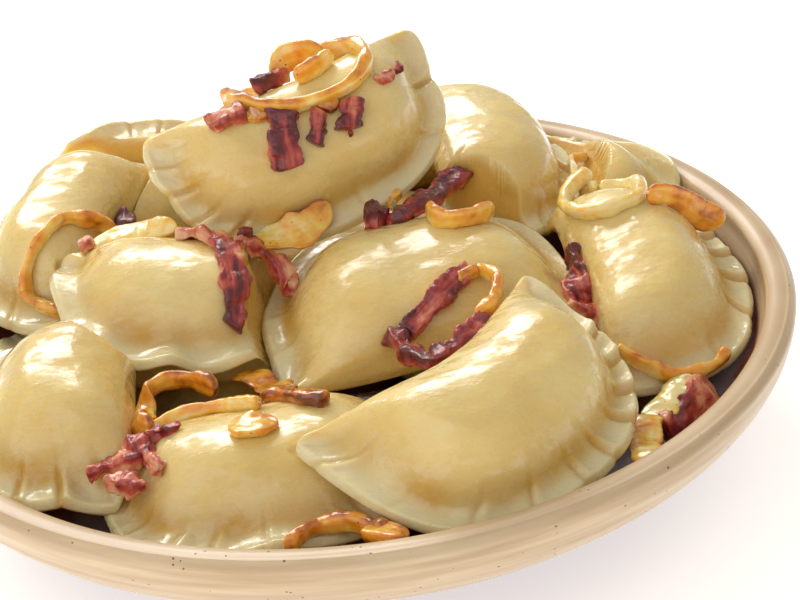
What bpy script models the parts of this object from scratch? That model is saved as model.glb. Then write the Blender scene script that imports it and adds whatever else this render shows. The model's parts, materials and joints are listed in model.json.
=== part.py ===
"""Pierogi with bacon and fried onion, heaped in a stoneware bowl.

Frame: metres, +Z up, origin at the middle of the bowl's foot, the heap's open front towards -Y.
"""
import math

import bpy
import numpy as np

MM = 0.001
GAP = 0.3 * MM              # clearance between pieces that touch
WALL_GAP = 0.9 * MM         # and sideways from the bowl's faceted wall

# Bowl
BOWL_RADIUS = 124 * MM      # widest part of the wall, under the lip
LIP_WIDTH = 8 * MM
LIP_RISE = 2.8 * MM
LIP_BASE = 46 * MM          # height at which the lip starts to round over
WALL_DEPTH = 44 * MM        # from the lip's base down to the underside, if it had no foot
WELL_DEPTH = 37 * MM        # from the lip's base down to the floor of the well
FOOT_RADIUS = 57 * MM
WALL_CURVE = 2.0            # exponent of the wall's superellipse
BOWL_SIDES = 36
WELL_RADIUS = BOWL_RADIUS - LIP_WIDTH

# Dumplings
RIM_HALF = 1.7 * MM         # half the thickness of the pressed rim
RIM_WIDTH = 8 * MM          # flat pressed border inside the arc
RIM_ROUND = 1.8 * MM        # rounding of the rim's edge
RIM_DROOP = 1.5 * MM        # how far the rim hangs below the seam plane
FOLD_ROUND = 14 * MM        # roundness of the folded edge
TIP_DROOP = 2 * MM
BELLY_FALL = 0.34           # share of the width over which the belly falls to the rim
BELLY_UNDER = 9 * MM        # depth of the belly under the seam
FOLD_CURVE = 3.2            # exponent of the folded edge
FOLD_SWELL = 0.12           # how far the fold swells behind the tips, as a share of the width
ARC_POINTS = 13             # points along a hidden dumpling's arc
CRIMP_START = 0.62          # share of the way out from which the rim's waves set in
POLE = 0.34                 # where the rings of points are centred, as a share of the width
LOBE = 1.0 * MM             # scallops of the crimp, in and out
WAVE = 1.6 * MM             # and up and down
PRISM = 14 * MM             # how far above its underside a dumpling clears the ones below

TOP_RINGS = (0, 0.42, 0.72, 0.91, 1.0)
UNDER_RINGS = (0.9, 0.55, 0)
HIDDEN_TOP_RINGS = (0, 0.5, 0.85, 1.0)
HIDDEN_UNDER_RINGS = (0.75, 0)

# Each dumpling, from the top of the heap down: place of the seam plane's origin, heading of the crimped arc,
# pitch that raises the arc, roll that lowers the +X tip (mm and degrees); length, width, belly height, bow of
# the fold (mm); exponent of the arc, higher for a fuller outline; and scallops along the crimp.
DUMPLINGS = {
    "pierogi_01": (-8, 40, 88, -151, -45, 14, 89, 40, 16, 6, 3.2, 10),
    "pierogi_02": (24, -67, 58, -136, -18, 7, 79, 49, 17, 11, 3.0, 10),
    "pierogi_03": (26, -27, 44, 10, 9, -1, 92, 58, 17, 3, 3.0, 10),
    "pierogi_04": (37, 51, 64, -81, -21, 10, 79, 43, 15, 3, 2.6, 10),
    "pierogi_05": (-41, 10, 55, 176, -8, -9, 75, 43, 14, 3, 2.5, 10),
    "pierogi_06": (-68, 42, 53, 70, -3, -9, 84, 38, 17, 2, 2.6, 9),
    "pierogi_07": (-60, -42, 46, 91, 1, -7, 75, 42, 17, 0, 2.4, 9),
    "pierogi_08": (71, -10, 46, -86, -2, 11, 87, 41, 16, 3, 2.6, 10),
    "pierogi_09": (-6, 56, 62, 12, 0, 0, 79, 44, 13, 2, 2.6, 10),
    "pierogi_10": (69, 58, 44, -43, 11, 1, 82, 26, 13, 0, 2.6, 8),
    "pierogi_11": (-24, -57, 39, -176, -1, 1, 84, 46, 15, 0, 2.6, 10),
    "pierogi_12": (-40, -13, 38, -1, -3, 2, 76, 45, 13, 0, 2.6, 9),
}
HIDDEN = {
    "pierogi_13": (-51, 61, 38, 29, 39, 0, 78, 46, 14, 0, 2.6, 9),
    "pierogi_14": (2, 79, 46, -7, 7, 0, 85, 35, 14, 0, 2.6, 8),
    "pierogi_15": (9, 29, 38, -7, -2, 0, 83, 49, 14, 0, 2.6, 8),
    "pierogi_16": (37, -40, 30, 180, 6, 3, 62, 48, 12, 0, 2.6, 8),
    "pierogi_17": (-72, -6, 30, 90, 16, 0, 76, 29, 11, 0, 2.6, 8),
    "pierogi_18": (0, -20, 18, 180, 4, 0, 78, 46, 11, 0, 2.6, 8),
    "pierogi_19": (17, 10, 18, -60, 4, 0, 78, 46, 11, 0, 2.6, 8),
    "pierogi_20": (-17, 10, 18, 60, 4, 0, 78, 46, 11, 0, 2.6, 8),
}

# Bacon and onion strips
SINK = 0.4 * MM             # how deep a strip beds into the dough
STATION = 7                 # mm between the sections of a strip
UNEVEN = 0.12               # how much its width varies
TAPER = 0.85                # width of its top against its underside

# Toppings on a dumpling: middle in its own base plane, heading, length and turn along the length, and the
# width and depth of the strip (mm and degrees).
LAID = {
    "bacon": (
        ("pierogi_01", 10, 19, 78, 14, -13, 9, 4),
        ("pierogi_01", 21, 3, 189, 12, 19, 6, 4),
        ("pierogi_01", -10, 20, 96, 10, 0, 7, 4),
        ("pierogi_01", -0.5, 19, 106, 8, -20, 5, 4),
        ("pierogi_05", -16, 18, 125, 33, -62, 8, 4),
        ("pierogi_03", 1, -2, 24, 25, 10, 5, 6),
        ("pierogi_11", 23, 11, -35, 13, 0, 5, 4),
        ("pierogi_11", 31, 15, 128, 12, 0, 5, 5),
        ("pierogi_09", 14, 28, 20, 22, 20, 7, 4),
    ),
    "onion": (
        ("pierogi_01", -9, 9, 172, 46, 66, 3, 6),
        ("pierogi_01", 16, 31, 178, 21, -15, 10, 3),
        ("pierogi_06", -27, 8, 190, 38, 60, 3, 7),
        ("pierogi_05", 14, 7, 165, 30, 30, 8, 3),
        ("pierogi_08", -23, 6, 90, 34, 120, 3, 6),
        ("pierogi_08", -11, 24, 100, 26, -60, 4, 6),
        ("pierogi_08", 34, 12, 73, 28, 8, 6, 4),
        ("pierogi_11", 1, 17, 175, 14, 30, 9, 4),
        ("pierogi_11", -14, 42, 190, 26, 30, 3, 5),
        ("pierogi_09", -14, 28, 160, 34, 80, 3, 6),
    ),
}
# Toppings that bridge a gap: place of the middle, heading, climb, length, turn, width and depth.
BRIDGING = {
    "bacon": (
        (-14, 38, 97, 10, 0, 11, 0, 6, 4),
        (-63, 44, 55, -20, 0, 12, 0, 8, 4),
        (10, 29, 53, 60, 0, 9, 0, 7, 6),
        (29, 30, 59, -15, 28, 24, 0, 6, 5),
        (-10, -7, 58, -25, -25, 15, 0, 8, 4),
        (32, -42, 51, 40, 5, 18, 10, 4, 4),
        (62, -15, 48, -87, -8, 22, 0, 9, 4),
        (-61, -72, 46, 20, -5, 14, 20, 5, 4),
        (85, -57, 34, 35, 10, 14, 0, 9, 7),
    ),
    "onion": (
        (0, 45, 99, 0, 0, 44, -60, 3, 5),
        (6, 37, 99, 5, 0, 14, 0, 6, 3),
        (36, 18, 54, -5, 0, 24, 110, 3, 6),
        (74, -53, 34, 75, 10, 14, 0, 5, 3),
        (68, -71, 33, 70, 0, 16, 20, 7, 6),
        (-43, -45, 46, -90, 0, 46, 170, 3, 6),
        (-27, -48, 46, 3, 0, 26, 0, 5, 3),
        (-15, -50, 50, -45, 0, 26, 20, 4, 4),
        (37, -37, 58, 45, 20, 18, 0, 3, 3),
    ),
}


def clear_scene():
    for item in list(bpy.data.objects):
        bpy.data.objects.remove(item, do_unlink=True)


def material(name, colour, roughness):
    """A plain Principled material."""
    made = bpy.data.materials.new(name)
    made.use_nodes = True
    shader = made.node_tree.nodes["Principled BSDF"]
    shader.inputs["Base Color"].default_value = (*colour, 1)
    shader.inputs["Roughness"].default_value = roughness
    return made


def mesh_object(name, points, faces, look):
    mesh = bpy.data.meshes.new(name)
    mesh.from_pydata([tuple(p) for p in points], [], [tuple(f) for f in faces])
    mesh.shade_smooth()
    mesh.materials.append(look)
    made = bpy.data.objects.new(name, mesh)
    bpy.context.scene.collection.objects.link(made)
    return made


def smoothstep(low, high, value):
    t = np.clip((value - low) / (high - low), 0, 1)
    return t * t * (3 - 2 * t)


# ---- bowl ----

def wall_height(radius, mouth, depth):
    """Height of a superelliptic wall that opens to the radius mouth at the lip's base."""
    share = np.clip(1 - (radius / mouth) ** WALL_CURVE, 0, 1)
    return LIP_BASE - depth * share ** (1 / WALL_CURVE)


def wall_radii(inner, mouth, steps):
    """Radii that close up towards the mouth, where the wall turns upright."""
    return mouth * np.sin(np.linspace(math.asin(inner / mouth), math.pi / 2, steps))


def bowl_floor(radius):
    """Height of the bowl under a point: its well, or the lip's half ellipse."""
    well = wall_height(np.minimum(radius, WELL_RADIUS), WELL_RADIUS, WELL_DEPTH)
    across = (radius - WELL_RADIUS) / LIP_WIDTH * 2 - 1
    lip = LIP_RISE * np.sqrt(np.clip(1 - across ** 2, 0, 1))
    return well + np.where(radius > WELL_RADIUS, lip, 0)


def bowl_profile():
    """Radius and height of the bowl's section, from the middle of the foot over the lip to the well."""
    outside = wall_radii(FOOT_RADIUS, BOWL_RADIUS, 6)
    inside = wall_radii(30 * MM, WELL_RADIUS, 7)[::-1]
    turn = np.linspace(0, math.pi, 6)[1:-1]
    middle = BOWL_RADIUS - LIP_WIDTH / 2
    foot = [(0, 0), (FOOT_RADIUS - 1 * MM, 0), (FOOT_RADIUS, 1 * MM)]
    wall = list(zip(outside, wall_height(outside, BOWL_RADIUS, WALL_DEPTH)))
    lip = list(zip(middle + LIP_WIDTH / 2 * np.cos(turn), LIP_BASE + LIP_RISE * np.sin(turn)))
    well = list(zip(inside, wall_height(inside, WELL_RADIUS, WELL_DEPTH)))
    return foot + wall + lip + well + [(0, LIP_BASE - WELL_DEPTH)]


def bowl(look):
    """The section turned about Z."""
    profile = bowl_profile()
    turn = np.arange(BOWL_SIDES) * 2 * math.pi / BOWL_SIDES
    points = [(0, 0, profile[0][1])]
    for radius, height in profile[1:-1]:
        points += [(radius * math.cos(a), radius * math.sin(a), height) for a in turn]
    points.append((0, 0, profile[-1][1]))
    return mesh_object("bowl", points, rings_to_faces(len(profile) - 2, BOWL_SIDES)[:, ::-1], look)


def rings_to_faces(rings, sides):
    """Triangles between a pole, rings of points and a second pole, numbered in that order."""
    i = np.arange(sides)
    j = (i + 1) % sides
    last = 1 + rings * sides
    faces = [np.stack([0 * i, 1 + i, 1 + j], 1)]
    for ring in range(rings - 1):
        a = 1 + ring * sides
        faces.append(np.stack([a + i, a + sides + i, a + sides + j], 1))
        faces.append(np.stack([a + i, a + sides + j, a + j], 1))
    a = last - sides
    faces.append(np.stack([a + i, last + 0 * i, a + j], 1))
    return np.concatenate(faces)


# ---- dumplings ----

class Dumpling:
    """A half-moon of dough, folded over its filling and crimped along the arc."""

    def __init__(self, x, y, z, heading, pitch, roll, length, width, belly, bow, fullness, scallops):
        self.place = np.array([x, y, z]) * MM
        self.turn = self.rotation(*np.radians([heading, pitch, roll]))
        self.half = length / 2 * MM
        self.width = width * MM
        self.belly = belly * MM
        self.bow = bow * MM
        self.fullness = fullness
        self.scallops = scallops

    @staticmethod
    def rotation(heading, pitch, roll):
        c, s = np.cos([heading, pitch, roll]), np.sin([heading, pitch, roll])
        about_z = np.array([[c[0], -s[0], 0], [s[0], c[0], 0], [0, 0, 1]])
        about_x = np.array([[1, 0, 0], [0, c[1], -s[1]], [0, s[1], c[1]]])
        about_y = np.array([[c[2], 0, s[2]], [0, 1, 0], [-s[2], 0, c[2]]])
        return about_z @ about_x @ about_y

    def outline(self, hidden):
        """Points of the half-moon, the share of the arc each lies at, and how much it is crimped."""
        arc = np.linspace(0, 1, ARC_POINTS if hidden else 2 * self.scallops + 1)
        fold = np.linspace(0, 1, 5 if hidden else 7)[1:-1]
        a, b = math.pi * arc, math.pi * fold
        depth = FOLD_SWELL * self.width
        x = np.concatenate([self.half * signed_power(np.cos(a), 2 / self.fullness),
                            -self.half * signed_power(np.cos(b), 2 / FOLD_CURVE)])
        y = np.concatenate([self.width * np.sin(a) ** (2 / self.fullness),
                            -depth * np.sin(b) ** (2 / FOLD_CURVE)])
        y[len(arc) - 1] = 0
        share = np.concatenate([arc, np.where(fold < 0.5, 1, 0)])
        crimp = np.concatenate([0 * arc + 1, 1 - smoothstep(0, 0.16, np.minimum(fold, 1 - fold))])
        return x, y, share, crimp

    def thickness(self, x, y, belly):
        """Height over the seam plane: a thin rounded plate plus the belly, which rises from rim and fold."""
        across = np.minimum(np.abs(x) / self.half, 1)
        up = np.maximum(y, 0) / self.width
        reach = np.clip((across ** self.fullness + up ** self.fullness) ** (1 / self.fullness), 1e-4, 1)
        to_arc = np.hypot(x, np.maximum(y, 0)) * (1 / reach - 1)
        depth = FOLD_SWELL * self.width
        to_fold = np.maximum(y + depth * (1 - across ** FOLD_CURVE) ** (1 / FOLD_CURVE), 0)
        fold = round_over(to_fold, FOLD_ROUND)
        arc = smoothstep(RIM_WIDTH, RIM_WIDTH + BELLY_FALL * self.width, to_arc)
        plate = RIM_HALF * round_over(np.minimum(to_arc, to_fold), RIM_ROUND)
        return plate + (belly - RIM_HALF) * fold * arc

    def surface(self, rho, side, hidden, clearance=0.0, rise=0.0):
        """Ring at the share rho of the way from the pole to the outline, on the top (1) or underside (-1)."""
        x, y, share, crimp = self.outline(hidden)
        pole = POLE * self.width
        out = np.hypot(x, y - pole)
        along = np.stack([x, y - pole]) / out
        base = np.stack([x * 0, y * 0 + pole]) + along * out * rho
        lobes = np.abs(np.sin(math.pi * self.scallops * share)) - 0.6
        waves = np.sin(math.pi * self.scallops * share * 0.8)
        height = side * self.thickness(*base, self.belly if side > 0 else BELLY_UNDER)
        height = height + smoothstep(CRIMP_START, 1, rho) * crimp * (WAVE * waves - RIM_DROOP)
        edge = base + along * (crimp * LOBE * lobes * rho ** 4 + clearance * rho)
        bend = (edge[0] / self.half) ** 2
        local = np.stack([edge[0], edge[1] - self.bow * bend, height - TIP_DROOP * bend + rise], 1)
        return local @ self.turn.T + self.place

    def lifted(self, rho, side, hidden, **more):
        """The ring, raised where its underside would sink into the bowl's wall."""
        under = self.surface(rho, -1, hidden)
        radius = np.hypot(under[:, 0], under[:, 1]) / math.cos(math.pi / BOWL_SIDES) + WALL_GAP
        floor = bowl_floor(radius) + GAP
        ring = self.surface(rho, side, hidden, **more)
        ring[:, 2] += np.maximum(floor - under[:, 2], 0)
        return ring

    def mesh(self, hidden):
        top, under = (HIDDEN_TOP_RINGS, HIDDEN_UNDER_RINGS) if hidden else (TOP_RINGS, UNDER_RINGS)
        rings = [self.lifted(rho, 1, hidden) for rho in top] + [self.lifted(rho, -1, hidden) for rho in under]
        return stack_rings(rings)

    def top_at(self, plan):
        """Points of the top over places in the base plane, and the normals there."""
        step = 0.5 * MM
        spots = [plan, plan + [step, 0], plan + [0, step]]
        found = []
        for spot in spots:
            x, y = spot.T
            bend = (x / self.half) ** 2
            height = self.thickness(x, y, self.belly)
            found.append(np.stack([x, y - self.bow * bend, height - TIP_DROOP * bend], 1))
        normal = np.cross(found[1] - found[0], found[2] - found[0])
        normal /= np.linalg.norm(normal, axis=1)[:, None]
        return found[0] @ self.turn.T + self.place, normal @ self.turn.T

    def prism(self, hidden):
        """What the dumpling and the space over it keep clear: its underside, taken straight up."""
        top, under = (HIDDEN_TOP_RINGS, HIDDEN_UNDER_RINGS) if hidden else (TOP_RINGS, UNDER_RINGS)
        rings = [self.lifted(rho, -1, hidden, clearance=GAP, rise=PRISM) for rho in (0, 1)]
        rings += [self.lifted(rho, -1, hidden, clearance=GAP, rise=-GAP) for rho in (1.0,) + under]
        return stack_rings(rings)

    def shell(self, hidden):
        """The dumpling, thicker by the clearance all round."""
        top, under = (HIDDEN_TOP_RINGS, HIDDEN_UNDER_RINGS) if hidden else (TOP_RINGS, UNDER_RINGS)
        rings = [self.lifted(rho, 1, hidden, clearance=GAP, rise=GAP) for rho in top]
        rings += [self.lifted(rho, -1, hidden, clearance=GAP, rise=-GAP) for rho in (1.0,) + under]
        return stack_rings(rings)


def signed_power(value, power):
    return np.sign(value) * np.abs(value) ** power


def round_over(distance, radius):
    """Quarter circle: 0 at the edge, 1 from the radius on."""
    return np.sqrt(1 - (1 - np.clip(distance / radius, 0, 1)) ** 2)


def stack_rings(rings):
    """One closed mesh of rings whose first and last are a single point."""
    points = np.concatenate([rings[0][:1]] + rings[1:-1] + [rings[-1][:1]])
    return points, rings_to_faces(len(rings) - 2, len(rings[1]))


# ---- bacon and onion ----

def arc_path(x, y, heading, length, turn):
    """Evenly spaced points of an arc in the plane, with its middle at a place."""
    stations = max(3, round(length / STATION) + 1)
    share = np.linspace(-0.5, 0.5, stations)
    angle = np.radians(heading + turn * share)
    points = np.cumsum(np.stack([np.cos(angle), np.sin(angle)], 1), 0) * length / (stations - 1)
    return (points - points.mean(0) + [x, y]) * MM, share


def strip(name, look, path, up, width, depth):
    """A thick band along a path, a little wider and narrower along its length."""
    along = np.gradient(path, axis=0)
    across = np.cross(up, along)
    across /= np.linalg.norm(across, axis=1)[:, None]
    swell = 1 + UNEVEN * np.cos(np.linspace(0, 8, len(path)))[:, None]
    half = across * width * MM / 2 * swell
    low, high = path - up * SINK, path + up * (depth * MM - SINK)
    rings = np.stack([low + half, low - half, high - half * TAPER, high + half * TAPER], 1)
    ends = rings.mean(1)
    points = np.concatenate([ends[:1], rings.reshape(-1, 3), ends[-1:]])
    return mesh_object(name, points, rings_to_faces(len(path), 4), look)


def laid_topping(name, look, host, x, y, heading, length, turn, width, depth):
    """A strip that follows the top of the dumpling it lies on."""
    plan, _ = arc_path(x, y, heading, length, turn)
    path, up = host.top_at(plan)
    return strip(name, look, path, up, width, depth)


def bridging_topping(name, look, x, y, z, heading, climb, length, turn, width, depth):
    """A strip on a straight slope, which rests on what is at its ends."""
    plan, share = arc_path(x, y, heading, length, turn)
    path = np.column_stack([plan, z * MM + share * length * MM * math.sin(math.radians(climb))])
    up = np.zeros_like(path) + [0, 0, 1]
    return strip(name, look, path, up, width, depth)


# ---- clearances ----

def cut_away(piece, cutters):
    """Take the cutters' volume from a piece."""
    if not cutters:
        return
    group = bpy.data.collections.new("clear_of_" + piece.name)
    for cutter in cutters:
        group.objects.link(cutter)
    cut = piece.modifiers.new("pressed", "BOOLEAN")
    cut.operand_type = "COLLECTION"
    cut.collection = group
    cut.operation = "DIFFERENCE"
    cut.solver = "EXACT"


def boxes_meet(one, other):
    a = np.array([v.co for v in one.data.vertices])
    b = np.array([v.co for v in other.data.vertices])
    return bool(np.all(a.max(0) > b.min(0) - GAP) and np.all(b.max(0) > a.min(0) - GAP))


def cutter(key, points, faces, look):
    made = mesh_object(key, points, faces, look)
    made.hide_render = True
    made.display_type = "WIRE"
    return made


def prism_of(name, shapes, look):
    """The room a dumpling takes from those under it, made once."""
    key = "over_" + name
    return bpy.data.objects.get(key) or cutter(key, *shapes[name].prism(name in HIDDEN), look)


def shell_of(name, shapes, look):
    """A dumpling with the clearance of what lies on it, made once."""
    key = "under_" + name
    return bpy.data.objects.get(key) or cutter(key, *shapes[name].shell(name in HIDDEN), look)


# ---- the whole ----

def lay_toppings(kind, look, shapes, pieces, dough):
    """All strips of one kind, each cut clear of the dumplings it touches."""
    laid = [laid_topping(f"{kind}_{number:02d}", look, shapes[host], *row)
            for number, (host, *row) in enumerate(LAID[kind], 1)]
    laid += [bridging_topping(f"{kind}_{number:02d}", look, *row)
             for number, row in enumerate(BRIDGING[kind], len(LAID[kind]) + 1)]
    for piece in laid:
        near = [name for name in pieces if boxes_meet(piece, pieces[name])]
        cut_away(piece, [shell_of(name, shapes, dough) for name in near])


def build():
    clear_scene()
    stoneware = material("stoneware", (0.72, 0.62, 0.48), 0.4)
    dough = material("dough", (0.85, 0.72, 0.42), 0.35)
    bacon = material("bacon", (0.42, 0.12, 0.09), 0.4)
    onion = material("onion", (0.8, 0.55, 0.15), 0.35)
    bowl(stoneware)
    shapes = {name: Dumpling(*row) for name, row in {**DUMPLINGS, **HIDDEN}.items()}
    pieces = {}
    for name, shape in shapes.items():
        pieces[name] = mesh_object(name, *shape.mesh(name in HIDDEN), dough)
        above = [other for other in pieces if other != name and boxes_meet(pieces[name], pieces[other])]
        cut_away(pieces[name], [prism_of(other, shapes, dough) for other in above])
    lay_toppings("bacon", bacon, shapes, pieces, dough)
    lay_toppings("onion", onion, shapes, pieces, dough)


build()
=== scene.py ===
"""Pierogi with fried bacon and onion, heaped in a stoneware bowl: the finish of every surface."""
import json
import math

import bpy
import numpy as np
from mathutils import Matrix, Vector
from mathutils.bvhtree import BVHTree

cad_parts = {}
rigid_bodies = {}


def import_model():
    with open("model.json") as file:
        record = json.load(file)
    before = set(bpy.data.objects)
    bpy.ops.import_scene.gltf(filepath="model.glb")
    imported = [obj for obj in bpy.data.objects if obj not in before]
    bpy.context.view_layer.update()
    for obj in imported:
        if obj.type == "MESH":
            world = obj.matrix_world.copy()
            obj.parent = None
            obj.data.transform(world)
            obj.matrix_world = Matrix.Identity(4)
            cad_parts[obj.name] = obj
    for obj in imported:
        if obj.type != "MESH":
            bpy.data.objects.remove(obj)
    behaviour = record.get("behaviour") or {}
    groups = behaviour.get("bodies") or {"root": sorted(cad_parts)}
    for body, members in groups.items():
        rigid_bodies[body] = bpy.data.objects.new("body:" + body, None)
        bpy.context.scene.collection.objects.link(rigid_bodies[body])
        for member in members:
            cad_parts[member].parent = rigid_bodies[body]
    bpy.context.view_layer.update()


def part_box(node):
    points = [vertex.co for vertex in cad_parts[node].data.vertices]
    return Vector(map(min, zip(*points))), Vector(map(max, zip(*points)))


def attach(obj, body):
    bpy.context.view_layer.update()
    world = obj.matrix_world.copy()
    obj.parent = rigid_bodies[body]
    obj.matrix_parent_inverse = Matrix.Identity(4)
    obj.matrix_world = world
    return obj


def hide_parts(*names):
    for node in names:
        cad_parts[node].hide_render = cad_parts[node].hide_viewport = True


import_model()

MM = 0.001


# ---- Camera, floor and light ----
# The dish is seen from a little over a quarter of the way up, with the head tipped to one side. It
# stands on a plain pale floor under two large soft lamps, the stronger one above and behind it.

AIM = (0, 0, 48 * MM)  # middle of the bowl's mouth
DISTANCE = 0.4992
ELEVATION, PAN, TILT, ROLL = 28.5, -1.90, -0.55, -6.71  # degrees
LENS, SENSOR_WIDTH = 81, 36  # mm
FLOOR_HALF = 3.0
FLOOR_GLOW, SKY_GLOW = 0.55, 0.5
# Each lamp: its place, the point that it faces, its two sides (metres), its power (watts) and its colour.
LAMPS = {
    "window": ((-0.25, 0.75, 0.75), (0, 0, 0.05), (0.8, 0.45), 7.5, (1.0, 0.98, 0.95)),
    "front": ((-0.7, -0.7, 0.6), (0, 0, 0.03), (1.8, 1.8), 6.6, (1.0, 0.96, 0.9)),
}


def add_camera():
    camera = bpy.data.objects.new("camera", bpy.data.cameras.new("camera"))
    bpy.context.scene.collection.objects.link(camera)
    up = math.radians(ELEVATION)
    eye = (AIM[0], AIM[1] - DISTANCE * math.cos(up), AIM[2] + DISTANCE * math.sin(up))
    place = Matrix.Translation(eye)
    turn = Matrix.Rotation(math.radians(90 - ELEVATION), 4, "X")
    for angle, axis in ((PAN, "Y"), (TILT, "X"), (ROLL, "Z")):
        turn = turn @ Matrix.Rotation(math.radians(angle), 4, axis)
    camera.matrix_world = place @ turn
    camera.data.lens = LENS
    camera.data.sensor_width = SENSOR_WIDTH
    camera.data.clip_start = 0.01
    bpy.context.scene.camera = camera


def add_lamp(name, place, aim, size, power, colour):
    """A rectangular lamp that faces a point."""
    light = bpy.data.lights.new(name, "AREA")
    light.shape = "RECTANGLE"
    light.size, light.size_y = size
    light.energy = power
    light.color = colour
    lamp = bpy.data.objects.new(name, light)
    bpy.context.scene.collection.objects.link(lamp)
    lamp.location = place
    back = lamp.location - Vector(aim)
    lamp.rotation_euler = back.to_track_quat("Z", "Y").to_euler()


def tree_tools(tree):
    """Short ways to add a node, to link two sockets, and to add a sum over numbers and sockets. What
    add is given by name sets the node's property or input of that name, and a socket is linked."""

    def add(kind, **values):
        made = tree.nodes.new("ShaderNode" + kind)
        for key, value in values.items():
            if hasattr(made, key):
                setattr(made, key, value)
            else:
                feed(made.inputs[key.replace("_", " ")], value)
        return made

    def feed(socket, value):
        if isinstance(value, bpy.types.NodeSocket):
            tree.links.new(value, socket)
        else:
            socket.default_value = value

    def work_out(operation, *values):
        made = add("Math", operation=operation)
        for socket, value in zip(made.inputs, values):
            feed(socket, value)
        return made.outputs[0]

    return add, tree.links.new, work_out


def new_material(name):
    """A material, its shader, and the tools for its nodes."""
    material = bpy.data.materials.new(name)
    material.use_nodes = True
    tree = material.node_tree
    return material, tree.nodes["Principled BSDF"], *tree_tools(tree)


def set_values(shader, **values):
    for key, value in values.items():
        shader.inputs[key.replace("_", " ")].default_value = value


def colour_ramp(add, value, *steps):
    """The colour at a value, on a ramp through steps that give a position and its colour."""
    ramp = add("ValToRGB", Fac=value)
    stops = ramp.color_ramp.elements
    for position, _ in steps[2:]:
        stops.new(position)
    for stop, (position, colour) in zip(stops, steps):
        stop.position = position
        stop.color = (*colour, 1)
    return ramp.outputs["Color"]


def floor_material():
    """Pale paint with a faint unevenness."""
    material, shader, add, link, _ = new_material("floor")
    cloud = add("TexNoise", Vector=add("TexCoord").outputs["Object"], Scale=3.0, Detail=2.0)
    tone = colour_ramp(add, cloud.outputs["Fac"], (0, (0.86, 0.86, 0.86)), (1, (0.9, 0.9, 0.9)))
    link(tone, shader.inputs["Base Color"])
    set_values(shader, Roughness=0.7, Emission_Color=(1, 1, 1, 1), Emission_Strength=FLOOR_GLOW)
    return material


def add_floor():
    half = FLOOR_HALF
    corners = [(-half, -half, 0), (half, -half, 0), (half, half, 0), (-half, half, 0)]
    mesh = bpy.data.meshes.new("floor")
    mesh.from_pydata(corners, [], [(0, 1, 2, 3)])
    mesh.materials.append(floor_material())
    floor = bpy.data.objects.new("floor", mesh)
    bpy.context.scene.collection.objects.link(floor)


def add_sky():
    world = bpy.data.worlds.new("studio")
    world.use_nodes = True
    sky = world.node_tree.nodes["Background"]
    sky.inputs["Color"].default_value = (1.0, 0.985, 0.96, 1)
    sky.inputs["Strength"].default_value = SKY_GLOW
    bpy.context.scene.world = world
    bpy.context.scene.view_settings.view_transform = "Standard"


add_camera()
add_floor()
add_sky()
for name, lamp in LAMPS.items():
    add_lamp(name, *lamp)


# ---- Bowl ----
# A shallow bowl of thrown stoneware on a low foot, whose lip is rolled to a thin crest. Cream glaze with
# iron specks covers the lip and the upper half of the outside, and dark tenmoku glaze the well and foot.

BOWL_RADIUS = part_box("bowl")[1].x
LIP_WIDTH = 8 * MM
LIP_RISE = 2.8 * MM
LIP_CREST = 0.35 * MM  # a fine ridge along the lip's inner half
CREST_TURN, CREST_HALF = 1.0, 0.16  # radians round the lip
LIP_BASE = 46 * MM
WALL_DEPTH = 44 * MM
WELL_DEPTH = 37 * MM
FOOT_RADIUS = 57 * MM
FOOT_BEVEL = 1 * MM
WELL_RADIUS = BOWL_RADIUS - LIP_WIDTH
GLAZE_LINE = 41 * MM  # height inside where the dark glaze starts
GLAZE_RUN, GLAZE_BLUR = 3 * MM, 1 * MM
CONE_RADIUS, CONE_SLOPE = 90.8 * MM, 0.62  # a cone round the dark glaze; it leaves the wall 22 mm up
BOWL_TURNS = 300  # points round the bowl
RING_PITCH, RING_DEPTH = 3.2 * MM, 0.12 * MM  # throwing rings on the outside


def wall_height(radius, mouth, depth):
    """Height of an elliptic wall that opens to the radius mouth at the lip's base."""
    return LIP_BASE - depth * np.sqrt(np.clip(1 - (radius / mouth) ** 2, 0, 1))


def wall_radii(inner, mouth, steps):
    """Radii at even angles of the ellipse, from inner to the mouth."""
    return mouth * np.sin(np.linspace(math.asin(inner / mouth), math.pi / 2, steps))


def bowl_floor(radius):
    """Height of the bowl under a point: its well, or the lip's half ellipse."""
    well = wall_height(np.minimum(radius, WELL_RADIUS), WELL_RADIUS, WELL_DEPTH)
    across = (radius - WELL_RADIUS) / LIP_WIDTH * 2 - 1
    lip = LIP_RISE * np.sqrt(np.clip(1 - across ** 2, 0, 1))
    return well + np.where(radius > WELL_RADIUS, lip, 0)


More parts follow.
